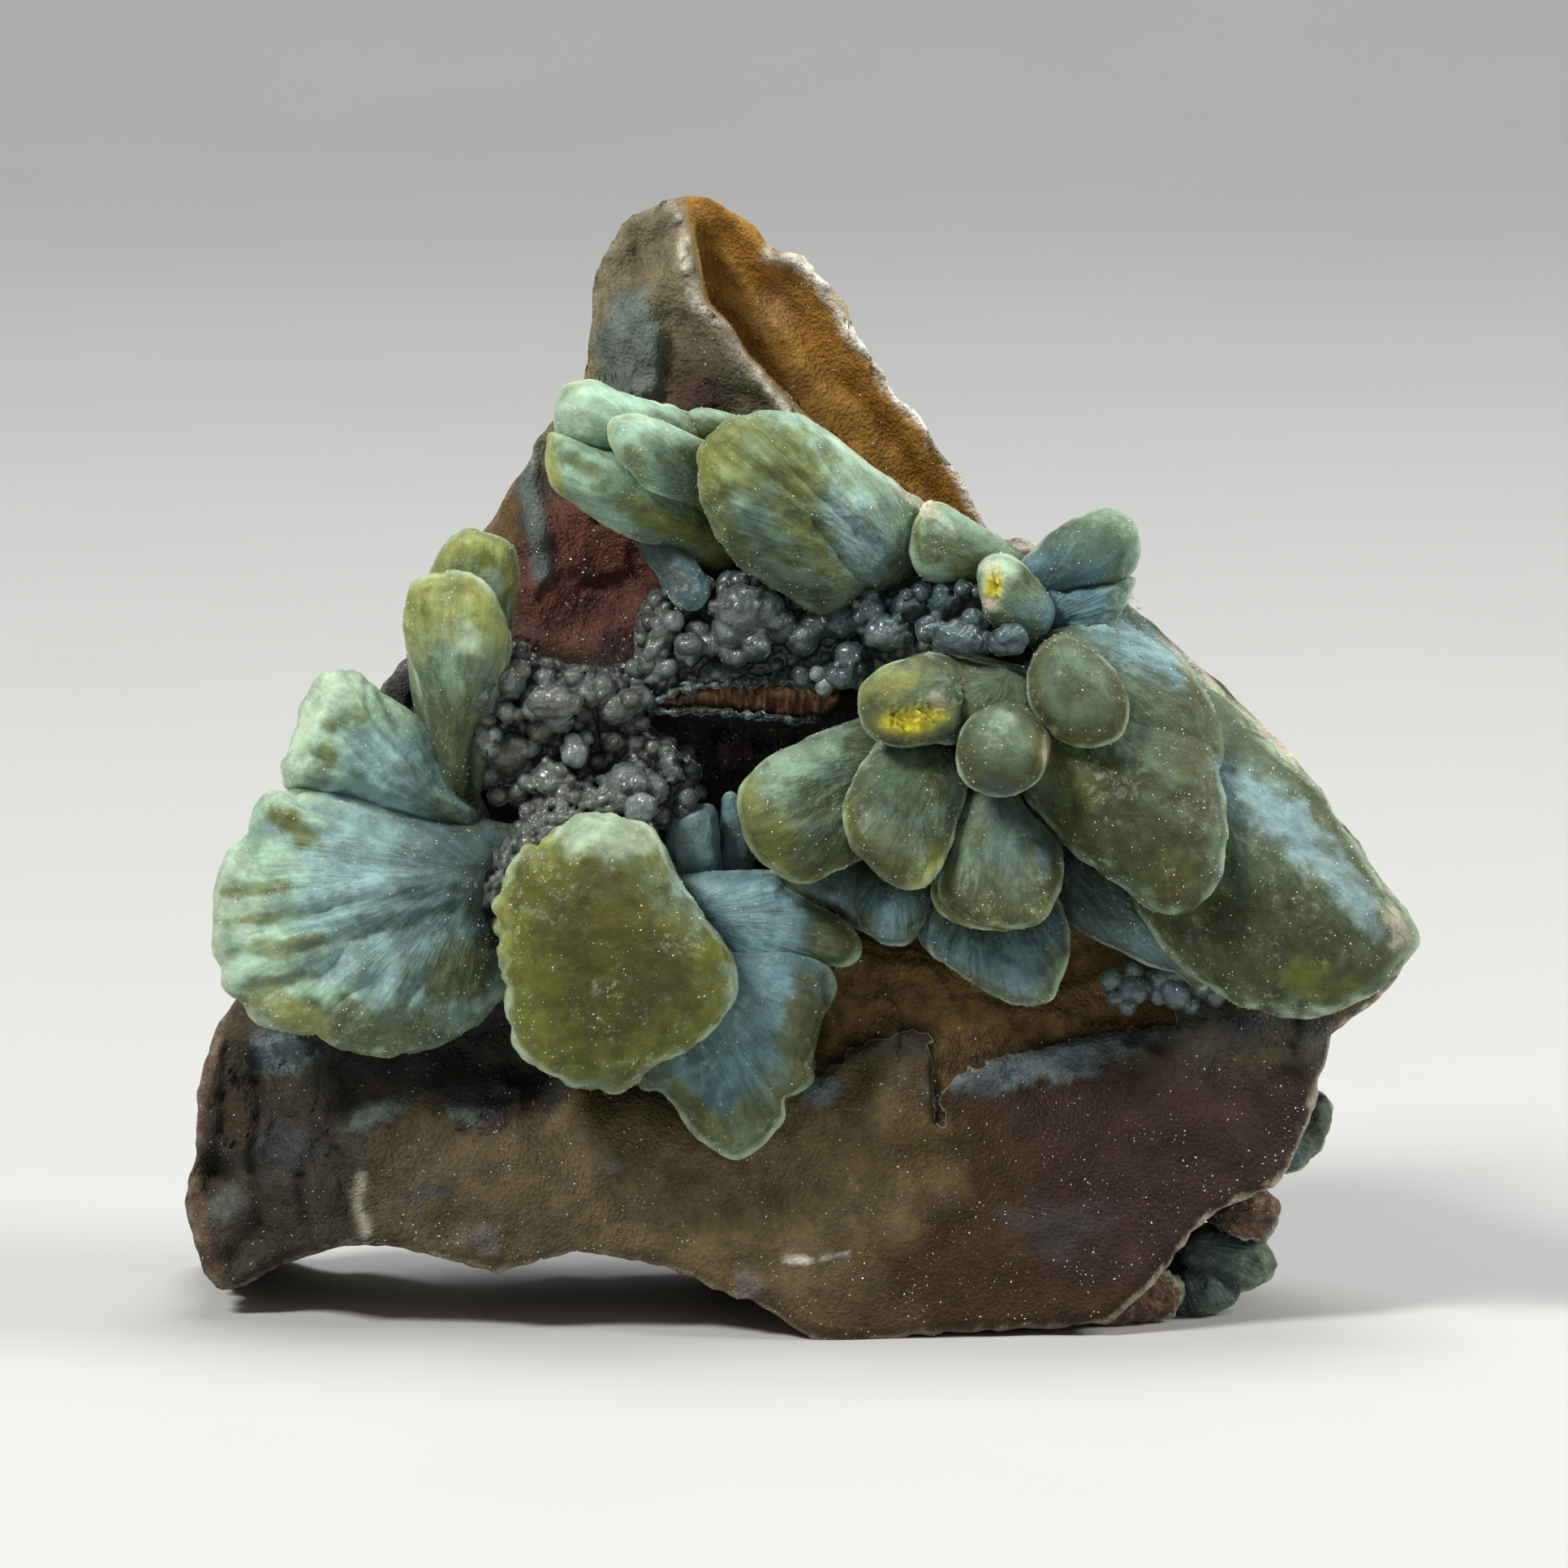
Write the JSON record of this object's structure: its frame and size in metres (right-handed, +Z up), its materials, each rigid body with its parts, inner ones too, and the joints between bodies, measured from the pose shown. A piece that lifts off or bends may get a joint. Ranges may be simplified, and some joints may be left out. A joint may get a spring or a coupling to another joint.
{
  "type": "plumbogummite specimen",
  "caption": "Small-cabinet mineral specimen: blunt blue-green and olive plumbogummite prisms in sheaves and fans on a broken plate of brown drusy matrix with grey botryoidal crust.",
  "frame": {"origin": "middle of the specimen's outer box, at the level of the surface that it stands on", "axes": "+Z up, -Y the way that the crystal-covered face looks, +X to the right as the face is seen"},
  "size_m": [0.0606, 0.0312, 0.0552],
  "materials": {
    "matrix_rock": "rough broken rock with a fine drusy sparkle",
    "olive_plumbogummite": "waxy, translucent at the edges, finely ribbed",
    "mint_plumbogummite": "waxy, translucent at the edges, finely ribbed",
    "blue_plumbogummite": "waxy, translucent at the edges, fibrous where broken"
  },
  "bodies": {
    "root": {"matrix": "matrix_rock", "right_cluster": "olive_plumbogummite", "centre_sheaf": "olive_plumbogummite", "ear_sheaf": "blue_plumbogummite", "top_sheaf": "mint_plumbogummite", "left_blade": "mint_plumbogummite", "left_fan": "mint_plumbogummite"}
  },
  "joints": []
}
